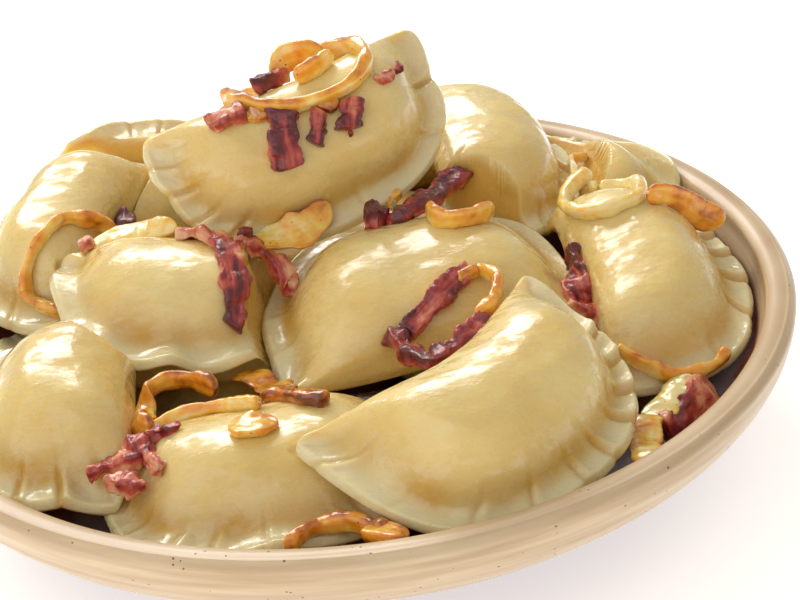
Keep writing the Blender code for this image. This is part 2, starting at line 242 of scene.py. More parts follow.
def bowl_section():
    """Radius and height of the section, from under the foot, up the outside with its throwing rings,
    over the lip (half an ellipse drawn up to a crest) and down the well."""
    bevel = np.linspace(0, math.pi / 2, 6)
    foot = np.stack([FOOT_RADIUS - FOOT_BEVEL * (1 - np.sin(bevel)), FOOT_BEVEL * (1 - np.cos(bevel))], 1)
    outer = wall_radii(FOOT_RADIUS, BOWL_RADIUS, 90)
    height = wall_height(outer, BOWL_RADIUS, WALL_DEPTH)
    fade = np.sin(np.linspace(0, math.pi, len(outer))) ** 0.5
    groove = RING_DEPTH * fade * (1 + np.sin(height * 2 * math.pi / RING_PITCH))
    outside = np.stack([outer - groove, height], 1)
    turn = np.linspace(0, math.pi, 42)[1:-1]
    crest = LIP_CREST * np.exp(-((turn - CREST_TURN) / CREST_HALF) ** 2)
    lip_height = LIP_BASE + (LIP_RISE - LIP_CREST) * np.sin(turn) + crest
    lip = np.stack([BOWL_RADIUS - LIP_WIDTH / 2 * (1 - np.cos(turn)), lip_height], 1)
    inner = wall_radii(2 * MM, WELL_RADIUS, 60)[::-1]
    well = np.stack([inner, wall_height(inner, WELL_RADIUS, WELL_DEPTH)], 1)
    disc = np.stack([np.linspace(5 * MM, FOOT_RADIUS - FOOT_BEVEL, 8)[:-1], np.zeros(7)], 1)
    return np.concatenate([disc, foot, outside, lip, well])


def closed_skin(name, first, rings, last):
    """A closed mesh object: rings of points (rings, sides, 3) with a single point before and after
    them."""
    count, sides = rings.shape[:2]
    i = np.arange(sides)
    j = np.roll(i, -1)
    start = 1 + np.arange(count - 1)[:, None] * sides
    quads = np.stack([start + i, start + sides + i, start + sides + j, start + j], -1).reshape(-1, 4)
    end = 1 + count * sides
    caps = [(0, 1 + a, 1 + b) for a, b in zip(i, j)]
    caps += [(end - sides + a, end, end - sides + b) for a, b in zip(i, j)]
    points = np.concatenate([[first], rings.reshape(-1, 3), [last]])
    mesh = bpy.data.meshes.new(name)
    mesh.from_pydata(points.tolist(), [], quads.tolist() + caps)
    mesh.shade_smooth()
    made = bpy.data.objects.new(name, mesh)
    bpy.context.scene.collection.objects.link(made)
    return made


def bowl_mesh():
    """The section turned about Z."""
    section = bowl_section()
    turn = -np.arange(BOWL_TURNS) * 2 * math.pi / BOWL_TURNS
    radius, height = section[:, :1], section[:, 1:]
    rings = np.stack([radius * np.cos(turn), radius * np.sin(turn), height + 0 * turn], -1)
    return closed_skin("stoneware_bowl", (0, 0, 0), rings, (0, 0, LIP_BASE - WELL_DEPTH))


def new_group(name, inputs, outputs):
    """A node group with named sockets, and the sockets that its own nodes start from and end in."""
    group = bpy.data.node_groups.new(name, "ShaderNodeTree")
    for way, sockets in (("INPUT", inputs), ("OUTPUT", outputs)):
        for label, kind in sockets.items():
            group.interface.new_socket(label, in_out=way, socket_type="NodeSocket" + kind)
    return group, group.nodes.new("NodeGroupInput").outputs, group.nodes.new("NodeGroupOutput").inputs


def specks_group():
    """Specks of iron or soot: the middles of small cells, kept where a cloud is dense enough, so that
    they gather."""
    values = dict.fromkeys(("Fineness", "Size", "Cloud Fineness", "Least Cloud"), "Float")
    group, start, end = new_group("specks", {"Place": "Vector", **values}, {"Speck": "Float"})
    add, link, work_out = tree_tools(group)
    cells = add("TexVoronoi", Vector=start["Place"], Scale=start["Fineness"])
    cloud = add("TexNoise", Vector=start["Place"], Scale=start["Cloud Fineness"])
    middle = work_out("LESS_THAN", cells.outputs["Distance"], start["Size"])
    dense = work_out("GREATER_THAN", cloud.outputs["Fac"], start["Least Cloud"])
    link(work_out("MULTIPLY", middle, dense), end["Speck"])
    return group


def bowl_material():
    """Cream glaze in faint bands with iron specks, and dark brown glaze below its uneven line in the well
    and on the lower outside."""
    material, shader, add, link, work_out = new_material("stoneware")
    place = add("TexCoord").outputs["Object"]
    bands = add("TexNoise", Vector=add("Mapping", Vector=place, Scale=(1, 1, 14)).outputs["Vector"],
                Scale=26.0, Detail=4.0).outputs["Fac"]
    cream = colour_ramp(add, bands, (0.3, (0.55, 0.37, 0.20)), (0.7, (0.74, 0.56, 0.35)))
    iron = add("Group", node_tree=specks, Place=place, Fineness=420.0, Size=0.13, Cloud_Fineness=180.0,
               Least_Cloud=0.56).outputs["Speck"]
    specked = add("Mix", data_type="RGBA", Factor=iron, A=cream, B=(0.20, 0.11, 0.06, 1))
    height = add("SeparateXYZ", Vector=place).outputs["Z"]
    flat = add("VectorMath", operation="MULTIPLY", Vector=place)
    flat.inputs[1].default_value = (1, 1, 0)
    radius = add("VectorMath", operation="LENGTH", Vector=flat.outputs["Vector"]).outputs["Value"]
    edge = add("TexNoise", Vector=place, Scale=45.0).outputs["Fac"]
    low = add("MapRange", interpolation_type="SMOOTHSTEP", From_Min=GLAZE_LINE + GLAZE_BLUR,
              From_Max=GLAZE_LINE - GLAZE_BLUR, Value=work_out("MULTIPLY_ADD", edge, GLAZE_RUN, height))
    inside = work_out("LESS_THAN", radius, work_out("MULTIPLY_ADD", height, CONE_SLOPE, CONE_RADIUS))
    dark = work_out("MULTIPLY", low.outputs[0], inside)
    well = colour_ramp(add, edge, (0, (0.035, 0.005, 0.004)), (1, (0.20, 0.035, 0.018)))
    glazed = add("Mix", data_type="RGBA", Factor=dark, A=specked.outputs["Result"], B=well)
    link(glazed.outputs["Result"], shader.inputs["Base Color"])
    gloss = add("MapRange", Value=dark, To_Min=0.42, To_Max=0.26)
    link(gloss.outputs[0], shader.inputs["Roughness"])
    skin = add("TexNoise", Vector=place, Scale=900.0, Detail=3.0).outputs["Fac"]
    bump = add("Bump", Strength=0.25, Distance=0.15 * MM, Height=work_out("MULTIPLY_ADD", bands, 3.0, skin))
    link(bump.outputs["Normal"], shader.inputs["Normal"])
    set_values(shader, Coat_Weight=0.35, Coat_Roughness=0.2)
    return material


specks = specks_group()
bowl = bowl_mesh()
bowl.data.materials.append(bowl_material())
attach(bowl, "root")
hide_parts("bowl")


# ---- Pierogi ----
# Half-moons of thin rolled dough folded over a soft filling. The arc is pinched shut between thumb and
# finger, which leaves a flat wavy rim of pads with pleats between them, and the boiled dough is wet
# with butter.

GAP = 0.3 * MM  # between a dumpling and what presses it
WALL_GAP = 0.9 * MM
RIM_HALF = 1.6 * MM  # half the thickness of the pinched rim
RIM_WIDTH = 8 * MM
RIM_ROUND = 1.8 * MM
RIM_DROOP = 1.5 * MM
TIP_DROOP = 2 * MM
TIP_ROUND = 5 * MM  # how far the outline is smoothed, which rounds the tips
ARC_SPOTS, FOLD_SPOTS = 1600, 900  # places along the outline, before it is smoothed
FOLD_UNPINCHED = 0.16  # share of the fold over which the pinched rim dies out
BELLY_FALL = 0.44  # shares of the width over which the belly rounds off to rim and fold
FOLD_FALL = 0.5
FOOT_BLEND = 1.3 * MM  # how softly the belly meets the rim
BELLY_UNDER = 9 * MM  # belly of the underside
FOLD_CURVE, FOLD_SWELL = 3.2, 0.12  # exponent of the fold, and its swell as a share of the width
POLE = 0.34  # where the rings close, as a share of the width
CRIMP_START = 0.62  # share of the way out from which the rim's waves set in
NOTCH, NOTCH_LENGTH = 0.9 * MM, 1.6 * MM  # how far the edge steps back at a pleat, and over what length
PLEAT_GROOVE, GROOVE_HALF = 0.9 * MM, 0.9 * MM
PLEAT_LIP, LAP_PLACE, LAP_HALF = 1.0 * MM, 2.2 * MM, 1.5 * MM  # a pleat's raised lap, past its groove
THUMB_HOLLOW, THUMB_HALF = 0.9 * MM, 2.6 * MM  # what the thumb leaves in each pad, by the belly's foot
THUMB_PLACE = 0.72 * RIM_WIDTH
THUMB_MIDDLE, THUMB_SPREAD = 0.55, 0.27  # shares of the pad's length
EDGE_BEAD, BEAD_PLACE, BEAD_HALF = 0.35 * MM, 1.6 * MM, 1.2 * MM
CREASE_PLACE, CREASE_HALF = 1.05 * RIM_WIDTH, 3 * MM  # where painted shade darkens the crease by the rim
CREASE_PATCH = 9 * MM  # size of its patches
PLEAT_SHADE_HALF = 1.5 * MM  # how far the painted shade reaches beside a pleat
LUMP, LUMP_SIZE = 0.7 * MM, 17 * MM  # unevenness of the belly over its filling
RIPPLE, RIPPLE_SIZE = 0.14 * MM, 5 * MM
PRISM = 14 * MM  # a dumpling presses what is no higher than this over its seam plane
PRESS_FADE, PRESS_BLEND = 5 * MM, 1.6 * MM
WRAP_SLOPE, WRAP_WALL = 2.2, 40  # how steeply the dough below climbs round a rim that presses it
WRAP_REACH = 4 * MM  # and where the second, steeper slope starts
# Points round, rings on top and rings underneath: of a dumpling in sight, and of a buried one.
FINE, COARSE = (440, 72, 14), (140, 24, 8)

# Place of the seam plane's origin, heading of the crimped arc, pitch and roll (mm, degrees); length,
# width, belly, bow of the fold (mm); exponent of the arc; and pads along the rim. From the top of the
# heap down.
PIEROGI = {
    "pierogi_01": (-8, 40, 88, -151, -45, 14, 89, 40, 16, 6, 3.2, 10),
    "pierogi_02": (26.5, -70, 56.5, -139, -18, 7, 84, 42, 17, 14.5, 4.0, 10),
    "pierogi_03": (26, -27, 44, 10, 9, -1, 92, 58, 17, 3, 3.0, 10),
    "pierogi_04": (37, 51, 64, -81, -21, 10, 79, 43, 15, 3, 2.6, 10),
    "pierogi_05": (-41, 10, 55, 176, -8, -9, 75, 43, 14, 3, 2.5, 10),
    "pierogi_06": (-68, 42, 53, 70, -3, -9, 84, 38, 17, 2, 2.6, 9),
    "pierogi_07": (-60, -42, 46, 91, 1, -7, 75, 42, 17, 0, 2.4, 9),
    "pierogi_08": (71, -10, 46, -86, -2, 11, 87, 41, 16, 3, 2.6, 10),
    "pierogi_09": (-6, 56, 62, 12, 0, 0, 79, 44, 13, 2, 2.6, 10),
    "pierogi_10": (69, 58, 44, -43, 11, 1, 82, 26, 13, 0, 2.6, 8),
    "pierogi_11": (-24, -57, 39, -176, -1, 1, 84, 46, 15, 0, 2.6, 10),
    "pierogi_12": (-40, -13, 38, -1, -3, 2, 76, 45, 13, 0, 2.6, 9),
    "pierogi_13": (-51, 61, 38, 29, 39, 0, 78, 46, 14, 0, 2.6, 9),
    "pierogi_14": (2, 79, 46, -7, 7, 0, 85, 35, 14, 0, 2.6, 8),
    "pierogi_15": (9, 29, 38, -7, -2, 0, 83, 49, 14, 0, 2.6, 8),
    "pierogi_16": (37, -40, 30, 180, 6, 3, 62, 48, 12, 0, 2.6, 8),
    "pierogi_17": (-72, -6, 30, 90, 16, 0, 76, 29, 11, 0, 2.6, 8),
    "pierogi_18": (0, -20, 18, 180, 4, 0, 78, 46, 11, 0, 2.6, 8),
    "pierogi_19": (17, 10, 18, -60, 4, 0, 78, 46, 11, 0, 2.6, 8),
    "pierogi_20": (-17, 10, 18, 60, 4, 0, 78, 46, 11, 0, 2.6, 8),
}
# Where a dumpling's thin edge is tucked into the side of one that is lower at its middle but bulges up
# past it.
TUCKED = (("pierogi_03", "pierogi_08"), ("pierogi_04", "pierogi_08"))
BURIED = ("pierogi_15", "pierogi_16", "pierogi_18", "pierogi_19", "pierogi_20")

# Where the fingers left a pleat, as a share of the way along the arc, and how deep it is from 0 to 1;
# then the number and height (mm) of the waves in the rim. A dumpling that isn't listed has even,
# shallow pleats.
RIMS = {
    "pierogi_01": (((0.04, 0.6), (0.11, 0.9), (0.18, 0.8), (0.25, 1), (0.55, 0.3), (0.78, 0.4),
                    (0.9, 0.9)), 4, 1.0),
    "pierogi_02": (((0.05, 0.5), (0.18, 0.2), (0.29, 0.4), (0.39, 0.5), (0.5, 0.6), (0.58, 0.7), (0.66, 0.9),
                    (0.72, 1), (0.78, 1), (0.84, 1)), 3, 0.6),
    "pierogi_03": (((0.83, 0.2), (0.92, 0.3)), 5, 0.9),
    "pierogi_04": (((0.1, 0.5), (0.2, 0.6), (0.34, 0.8), (0.48, 0.7), (0.62, 0.9), (0.78, 0.8)), 4, 0.8),
    "pierogi_05": (((0.04, 0.4), (0.8, 0.2)), 5, 1.8),
    "pierogi_07": (((0.3, 0.4), (0.6, 0.5), (0.8, 0.8), (0.9, 1)), 4, 1.5),
    "pierogi_08": (((0.2, 0.4), (0.35, 0.7), (0.45, 1), (0.54, 1), (0.62, 1), (0.7, 1), (0.8, 0.8)), 4, 0.8),
    "pierogi_10": (((0.55, 0.9), (0.66, 1), (0.76, 1), (0.86, 0.9)), 3, 1.0),
    "pierogi_12": (((0.2, 0.3), (0.6, 0.3)), 4, 1.0),
}


def smoothstep(low, high, value):
    t = np.clip((value - low) / (high - low), 0, 1)
    return t * t * (3 - 2 * t)


def round_over(distance, radius):
    """Quarter circle: 0 at the edge, 1 from the radius on."""
    return np.sqrt(1 - (1 - np.clip(distance / radius, 0, 1)) ** 2)


def bell(distance, half):
    """A bell curve: 1 at no distance, and a little over a third at the half width."""
    return np.exp(-(distance / half) ** 2)


def dome(distance, radius):
    """Rises from 0 at the edge and levels out to 1 at the radius, with no kink there."""
    return 1 - (1 - np.clip(distance / radius, 0, 1)) ** 2.3


def soft_min(a, b, blend):
    """The smaller of two values, rounded where they are within the blend of each other."""
    share = np.clip(0.5 + (b - a) / (2 * blend), 0, 1)
    return share * a + (1 - share) * b - blend * share * (1 - share)


def lumps(points, size, seed):
    """Smooth noise from -1 to 1: random values on a cubic lattice of that size, blended by quintic
    steps."""
    table = np.random.default_rng(seed).uniform(-1, 1, (16, 16, 16))
    spots = points / size + 50
    cell = np.floor(spots).astype(int)
    t = spots - cell
    t = t ** 3 * (t * (6 * t - 15) + 10)
    total = np.zeros(points.shape[:-1])
    for corner in np.ndindex(2, 2, 2):
        weight = np.prod(np.where(corner, t, 1 - t), axis=-1)
        i, j, k = np.moveaxis((cell + corner) % 16, -1, 0)
        total += weight * table[i, j, k]
    return total


class Pierog:
    """One dumpling: local X runs from tip to tip along the fold, Y out to the pinched arc, Z through
    the belly."""

    def __init__(self, name, fine, x, y, z, heading, pitch, roll, length, width, belly, bow, fullness, pads):
        self.name = name
        self.seed = int(name[-2:])
        self.place = np.array([x, y, z]) * MM
        angles = [math.radians(a) for a in (heading, pitch, roll)]
        turn = [Matrix.Rotation(a, 3, axis) for a, axis in zip(angles, "ZXY")]
        self.turn = np.array(turn[0] @ turn[1] @ turn[2])
        self.half, self.width = length / 2 * MM, width * MM
        self.belly, self.bow = belly * MM, bow * MM
        self.fullness = fullness
        random = np.random.default_rng(self.seed)
        even = (np.arange(1, pads) + random.uniform(-0.25, 0.25, pads - 1)) / pads
        shallow = np.column_stack([even, random.uniform(0.15, 0.6, pads - 1)])
        pleats, self.waves, wave = RIMS.get(name, (shallow, 4, 1))
        self.pleats, self.depths = np.array([(0, 0), *pleats, (1, 0)]).T
        self.wave = wave * MM
        self.sides, self.steps, self.under_steps = FINE if fine else COARSE

    def outline(self):
        """Even points of the half-moon: a superelliptic arc and a flatter superelliptic fold behind the
        tips. With each goes its share of the way along the arc and how much it is pinched."""
        arc, fold = np.linspace(0, 1, ARC_SPOTS), np.linspace(0, 1, FOLD_SPOTS)[1:-1]
        a, b = math.pi * arc, math.pi * fold
        power, flat = 2 / self.fullness, 2 / FOLD_CURVE
        x = np.concatenate([self.half * np.sign(np.cos(a)) * np.abs(np.cos(a)) ** power,
                            -self.half * np.sign(np.cos(b)) * np.abs(np.cos(b)) ** flat])
        y = np.concatenate([self.width * np.sin(a).clip(0) ** power,
                            -FOLD_SWELL * self.width * np.sin(b).clip(0) ** flat])
        run = np.concatenate([[0], np.cumsum(np.hypot(np.diff(x), np.diff(y)))])
        self.arc_length = run[len(arc) - 1]
        nearer_end = np.where(np.arange(len(x)) < ARC_SPOTS + FOLD_SPOTS // 2, 1, 0)
        share = np.where(run <= self.arc_length, run / self.arc_length, nearer_end)
        pinch = np.concatenate([0 * arc + 1, 1 - smoothstep(0, FOLD_UNPINCHED, np.minimum(fold, 1 - fold))])
        even = np.linspace(0, run[-1], self.sides + 1)[:-1]
        x, y, share, pinch = [np.interp(even, run, values) for values in (x, y, share, pinch)]
        reach = np.arange(-self.sides // 20, self.sides // 20 + 1)
        blur = np.exp(-(reach * run[-1] / self.sides / TIP_ROUND) ** 2)
        blur /= blur.sum()
        x, y = [np.convolve(np.pad(v, len(reach) // 2, mode="wrap"), blur, "valid") for v in (x, y)]
        return x, y, share, pinch

    def distances(self, x, y):
        """How far a place in the seam plane is from the arc and from the fold."""
        across = np.minimum(np.abs(x) / self.half, 1)
        up = np.maximum(y, 0) / self.width
        reach = np.clip((across ** self.fullness + up ** self.fullness) ** (1 / self.fullness), 1e-4, 1)
        to_arc = np.hypot(x, np.maximum(y, 0)) * (1 / reach - 1)
        swell = FOLD_SWELL * self.width * (1 - across ** FOLD_CURVE) ** (1 / FOLD_CURVE)
        return to_arc, np.maximum(y + swell, 0)

    def thickness(self, x, y, belly):
        """Height over the seam plane: a thin plate with a rounded edge, plus the belly, which domes up
        from the rim and more steeply from the fold."""
        to_arc, to_fold = self.distances(x, y)
        plate = RIM_HALF * round_over(np.minimum(to_arc, to_fold), RIM_ROUND)
        past_rim = to_arc - RIM_WIDTH
        past_rim = (past_rim + np.sqrt(past_rim ** 2 + FOOT_BLEND ** 2)) / 2
        rise = dome(past_rim, BELLY_FALL * self.width) * np.sqrt(dome(to_fold, FOLD_FALL * self.width))
        return plate + (belly - RIM_HALF) * rise

    def outside(self, x, y):
        """How far a place lies outside the half-moon, 0 within it."""
        up = np.maximum(y, 0) / self.width
        reach = ((np.abs(x) / self.half) ** self.fullness + up ** self.fullness) ** (1 / self.fullness)
        past_arc = np.hypot(x, np.maximum(y, 0)) * (1 - 1 / np.maximum(reach, 1e-4))
        across = np.minimum(np.abs(x) / self.half, 1)
        past_fold = -y - FOLD_SWELL * self.width * (1 - across ** FOLD_CURVE) ** (1 / FOLD_CURVE)
        return np.maximum(np.maximum(past_arc, past_fold), 0)

    def pads(self, share):
        """For places along the arc: how far away the pleats before and after are, how deep those are,
        and the share of the way across the pad between them."""
        before = np.clip(np.searchsorted(self.pleats, share, side="right") - 1, 0, len(self.pleats) - 2)
        start, end = self.pleats[before], self.pleats[before + 1]
        return ((share - start) * self.arc_length, (end - share) * self.arc_length, self.depths[before],
                self.depths[before + 1], (share - start) / (end - start))

    def hand_made(self, share, pinch, to_arc, local):
        """What the fingers leave on the top: each pad of the rim laps over the one before, with a
        groove under its lip, a bead along the edge and a thumb's hollow by the belly's foot; and the
        filling's lumps."""
        since, until, here, there, across = self.pads(share)
        band = smoothstep(0, BEAD_HALF, to_arc) * (1 - smoothstep(0.8 * RIM_WIDTH, 1.25 * RIM_WIDTH, to_arc))
        groove = here * bell(since, GROOVE_HALF) + there * bell(until, GROOVE_HALF)
        lap = here * bell(since - LAP_PLACE, LAP_HALF)
        foot = bell(to_arc - THUMB_PLACE, THUMB_HALF)
        hollow = np.maximum(here, there) * bell(across - THUMB_MIDDLE, THUMB_SPREAD) * foot
        bead = EDGE_BEAD * bell(to_arc - BEAD_PLACE, BEAD_HALF)
        calm = smoothstep(0.6 * RIM_WIDTH, 2.2 * RIM_WIDTH, to_arc)
        belly = LUMP * calm * lumps(local, LUMP_SIZE, self.seed + 11)
        belly += RIPPLE * lumps(local, RIPPLE_SIZE, self.seed)
        rim = band * (PLEAT_LIP * lap - PLEAT_GROOVE * groove) - THUMB_HOLLOW * hollow + bead
        return pinch * rim + belly

    def side_points(self, rho, side):
        """World points at shares rho of the way from the pole to the outline, on the top (1) or underside
        (-1), how much each belongs to the thin rim, and how much painted shade darkens it in the crease by
        the rim and beside the pleats."""
        x, y, share, pinch = self.outline()
        pole = POLE * self.width
        out = np.hypot(x, y - pole)
        along = np.stack([x, y - pole], -1) / out[:, None]
        rho = rho[:, None]
        base = np.stack([0 * x, 0 * y + pole], -1) + along * (out * rho)[..., None]
        to_arc, _ = self.distances(base[..., 0], base[..., 1])
        belly = self.belly if side > 0 else BELLY_UNDER
        height = side * self.thickness(base[..., 0], base[..., 1], belly)
        share, pinch = share + 0 * rho, pinch + 0 * rho
        if side > 0:
            local = np.concatenate([base, height[..., None]], -1)
            height = height + self.hand_made(share, pinch, to_arc, local)
        height = height * round_over((1 - rho) * out, RIM_ROUND)
        since, until, here, there, _ = self.pads(share)
        notch = here * np.exp(-since / NOTCH_LENGTH) + there * np.exp(-until / NOTCH_LENGTH)
        drift = lumps(np.stack([share * 5, 0 * share, 0 * share], -1), 1, self.seed + 3)
        swing = self.waves * share + 0.35 * drift
        sway = self.wave * np.sin(2 * math.pi * swing) - RIM_DROOP
        height = height + smoothstep(CRIMP_START, 1, rho) * pinch * sway
        lobe = 0.5 * self.wave * np.sin(2 * math.pi * swing + 1) - NOTCH * notch
        edge = base + along * (pinch * lobe * rho ** 4)[..., None]
        bend = (edge[..., 0] / self.half) ** 2
        local = np.stack([edge[..., 0], edge[..., 1] - self.bow * bend, height - TIP_DROOP * bend], -1)
        thin = pinch * (1 - smoothstep(0.5 * RIM_WIDTH, 1.7 * RIM_WIDTH, to_arc))
        # Painted shade: the crease along the belly's foot by the rim and the dough beside each pleat get a
        # darker ochre tint.
        patches = 0.6 + 0.5 * lumps(local, CREASE_PATCH, self.seed)
        painted_crease_shade = bell(to_arc - CREASE_PLACE, CREASE_HALF) * patches
        painted_pleat_shade = np.maximum(here * bell(since, PLEAT_SHADE_HALF), there * bell(until, PLEAT_SHADE_HALF))
        hollow = pinch * painted_crease_shade + 0.8 * painted_pleat_shade * thin
        return local @ self.turn.T + self.place, thin, hollow.clip(0, 1)

    def rings(self):
        """Rings over the top and back along the underside, each column raised clear of the bowl."""
        top = 1 - np.linspace(1, 0, self.steps + 1)[1:] ** 1.3
        under = 1 - np.linspace(0, 1, self.under_steps + 1)[1:-1] ** 1.6
        parts = []
        for rho, side in ((top, 1), (under, -1)):
            points, thin, hollow = self.side_points(rho, side)
            below = self.side_points(rho, -1)[0]
            radius = np.hypot(below[..., 0], below[..., 1]) + WALL_GAP
            sunk = bowl_floor(radius) + GAP - below[..., 2]
            points[..., 2] += -soft_min(-sunk, 0 * sunk, 1.0 * MM)
            parts.append((points, thin, hollow))
        return [np.concatenate(pair) for pair in zip(*parts)]

    def press(self, points, tucked):
        """Points that lie in or just over this dumpling, pushed down its own thickness to just under
        its underside. Past its outline the underside climbs steeply, so that the dough below wraps
        round the rim. Dough that it is tucked into is only pushed where it is no more than a little
        over its top."""
        local = (points - self.place) @ self.turn
        bend = (local[..., 0] / self.half) ** 2
        x, y, z = local[..., 0], local[..., 1] + self.bow * bend, local[..., 2] + TIP_DROOP * bend
        past = self.outside(x, y)
        to_arc, _ = self.distances(x, y)
        droop = RIM_DROOP * (1 - smoothstep(0, RIM_WIDTH * 1.6, to_arc))
        climb = WRAP_SLOPE * past + WRAP_WALL * np.maximum(past - WRAP_REACH, 0)
        ceiling = -self.thickness(x, y, BELLY_UNDER) - droop - GAP + climb
        reach = self.thickness(x, y, self.belly) + 1 * MM if tucked else PRISM
        weight = 1 - smoothstep(reach, reach + PRESS_FADE, z)
        lower = soft_min(z, ceiling, PRESS_BLEND)
        moved = weight * np.minimum(lower - z, 0)
        return points + moved[..., None] * self.turn[:, 2], -moved


def dough_material():
    """Boiled dough: pale yellow and cloudy, greyer on the thin rim, with painted shade in darker ochre in
    the crease by the rim, beside the pleats and where another dumpling presses it, and with a wet shine that
    breaks up where the skin is dry."""
    material, shader, add, link, work_out = new_material("dough")
    place = add("TexCoord").outputs["Object"]
    cloud = add("TexNoise", Vector=place, Scale=45.0, Detail=3.0).outputs["Fac"]
    colour = colour_ramp(add, cloud, (0.35, (0.78, 0.56, 0.18)), (0.68, (0.86, 0.69, 0.30)))
    # The rim tint is the thin rim's own greyer colour; the other two are painted shade: darker ochre in the
    # crease by the rim and beside the pleats, and where another dumpling presses down.
    tints = {"rim": (0.80, 0.70, 0.40, 1), "hollow": (0.64, 0.38, 0.06, 1), "painted_contact_shade": (0.70, 0.42, 0.08, 1)}
    for name, tint in tints.items():
        share = add("Attribute", attribute_name=name).outputs["Fac"]
        colour = add("Mix", data_type="RGBA", Factor=share, A=colour, B=tint).outputs["Result"]
    link(colour, shader.inputs["Base Color"])
    skin = add("TexNoise", Vector=place, Scale=330.0, Detail=3.0).outputs["Fac"]
    stretch = add("Mapping", Vector=place, Rotation=(0.3, 0.2, 0.35), Scale=(1, 2.2, 1.6)).outputs["Vector"]
    film = add("TexNoise", Vector=stretch, Scale=110.0, Detail=4.0, Roughness=0.7).outputs["Fac"]
    for name, dry, soaked in (("Roughness", 0.5, 0.2), ("Coat Weight", 0.05, 1.0)):
        wet = add("MapRange", interpolation_type="SMOOTHSTEP", Value=film, From_Min=0.40, From_Max=0.56,
                  To_Min=dry, To_Max=soaked)
        link(wet.outputs[0], shader.inputs[name])
    bump = add("Bump", Strength=0.75, Distance=0.3 * MM, Height=work_out("MULTIPLY_ADD", film, 1.2, skin))
    link(bump.outputs["Normal"], shader.inputs["Normal"])
    set_values(shader, Coat_Roughness=0.12, Subsurface_Weight=0.5, Subsurface_Radius=(1.0, 0.55, 0.2),
               Subsurface_Scale=4 * MM)
    return material


def mark(piece, name, values):
    """A number for each point of the mesh, which its material reads."""
    piece.data.attributes.new(name, "FLOAT", "POINT").data.foreach_set("value", values.astype(np.float32))


dough = dough_material()
shapes = {name: Pierog(name, name not in BURIED, *row) for name, row in PIEROGI.items()}
for name, shape in shapes.items():
    points, thin, hollow = shape.rings()
    # How far other dumplings pressed this one down; those places get a darker ochre tint, painted shade
    # where the dumplings touch.
    dented = np.zeros(points.shape[:-1])
    for other in shapes.values():
        if other is shape:
            break
        points, moved = other.press(points, (other.name, name) in TUCKED)
        dented = np.maximum(dented, moved)
    pierog = closed_skin(name + "_dough", points[0].mean(0), points[1:-1], points[-1].mean(0))
    for label, values in (("rim", thin), ("hollow", hollow), ("painted_contact_shade", smoothstep(0, 3 * MM, dented))):
        mark(pierog, label, np.concatenate([[0], values[1:-1].ravel(), [0]]))
    pierog.data.materials.append(dough)
    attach(pierog, "root")
    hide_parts(name)


# ---- Bacon ----
# Strips and cubes of smoked bacon, fried until the lean is dark red and the fat is pink and glassy.
# They lie where they were spooned over the dumplings, some over a dumpling's top and some across a gap.

SINK = 0.5 * MM  # how far a strip presses into what it lies on
REACH = 3 * MM  # a strip nearer than this to the dough or the bowl lies down on it
OVERHANG = -0.3  # least upward share of a surface's normal for a strip to lie on it
EASE, STIFF_EASE = 7, 100  # points either way over which a strip's settling is evened out
STRIP_POINTS, BIT_POINTS, SECTION_POINTS = 90, 40, 40
BIT_SEED = 50
SWAY_SIZE, KNOB_SIZE, CRUMB_SIZE = 5 * MM, 3.2 * MM, 1.2 * MM  # sizes of the unevenness of a strip
THIN_END = 0.35  # thickness that is left at a strip's very end, as a share
# For each piece: places along its underside, width and depth (mm); how dark it is at its two ends, from
# 0 for pink fat to 1 for burgundy lean; and its twist from end to end (degrees).
BACON = {
    "bacon_01": (((-10, 24, 93), (-10, 17, 87), (-10, 13, 80)), 8.5, 3.5, 0.7, 0.8, 10),
    "bacon_02": (((-30, 22, 91), (-25, 23, 92), (-20, 25, 93)), 5, 4, 0.25, 0.8, 0),
    "bacon_03": (((10, 26, 93), (9, 22, 90), (8, 19, 87)), 6.5, 3.5, 0.5, 0.85, 0),
    "bacon_04": (((0, 23, 92), (-1, 19, 88), (-2, 16, 85)), 4, 3, 0.35, 0.95, 20),
    "bacon_05": (((-42, 7, 67), (-35, 5, 67), (-30, -1, 66), (-28, -10, 64), (-28, -18, 58), (-29, -23, 52)),
                 7, 3.5, 0.1, 0.95, 30),
    "bacon_06": (((34, -22, 60), (29, -26, 59), (23, -30, 56), (13, -36, 50)), 5.5, 4, 0.3, 0.85, 30),
    "bacon_07": (((-54, -66, 48), (-50, -74, 48), (-47, -81, 49)), 5, 3.5, 0.6, 0.25, 40),
    "bacon_08": (((-59, -77, 44), (-51, -83, 45)), 5, 4, 0.25, 0.5, 0),
    "bacon_09": (((-8, 81, 74), (-1, 84, 72), (5, 88, 68), (11, 92, 62)), 7, 4, 0.7, 0.5, 40),
    "bacon_10": (((-17, 37, 94.5), (-12, 40, 95), (-7, 43, 95)), 6, 5, 0.9, 0.3, 30),
    "bacon_11": (((-66, 46, 52), (-61, 45, 52), (-57, 44, 52)), 7, 5, 1.0, 1.0, 0),
    "bacon_12": (((9, 9, 64), (15, 7, 64)), 8, 6, 0.9, 1.0, 0),
    "bacon_13": (((17, 6, 63), (22, 12, 63), (29, 19, 62), (34, 26, 62), (38, 31, 63)),
                 6.5, 4.5, 0.85, 0.75, 60),
    "bacon_14": (((-27, 9, 62), (-21, 6, 59), (-15, 2, 54), (-11, -4, 51)), 6, 4, 0.35, 0.2, 40),
    "bacon_15": (((13, -37, 51), (17, -51, 53), (21, -57, 55), (26, -55, 56), (31, -51, 57), (36, -43, 58)),
                 5, 4, 0.9, 0.55, 50),
    "bacon_16": (((66, -3, 52), (65, -12, 49), (64, -19, 46), (64, -27, 44)), 9, 4, 0.95, 0.3, 0),
    "bacon_17": (((-65, -73, 45), (-59, -72, 46), (-53, -71, 47)), 4.5, 3, 0.55, 0.4, 0),
    "bacon_18": (((94, -53, 33), (86, -59, 30), (79, -67, 28)), 11, 10, 0.3, 0.8, 0),
}
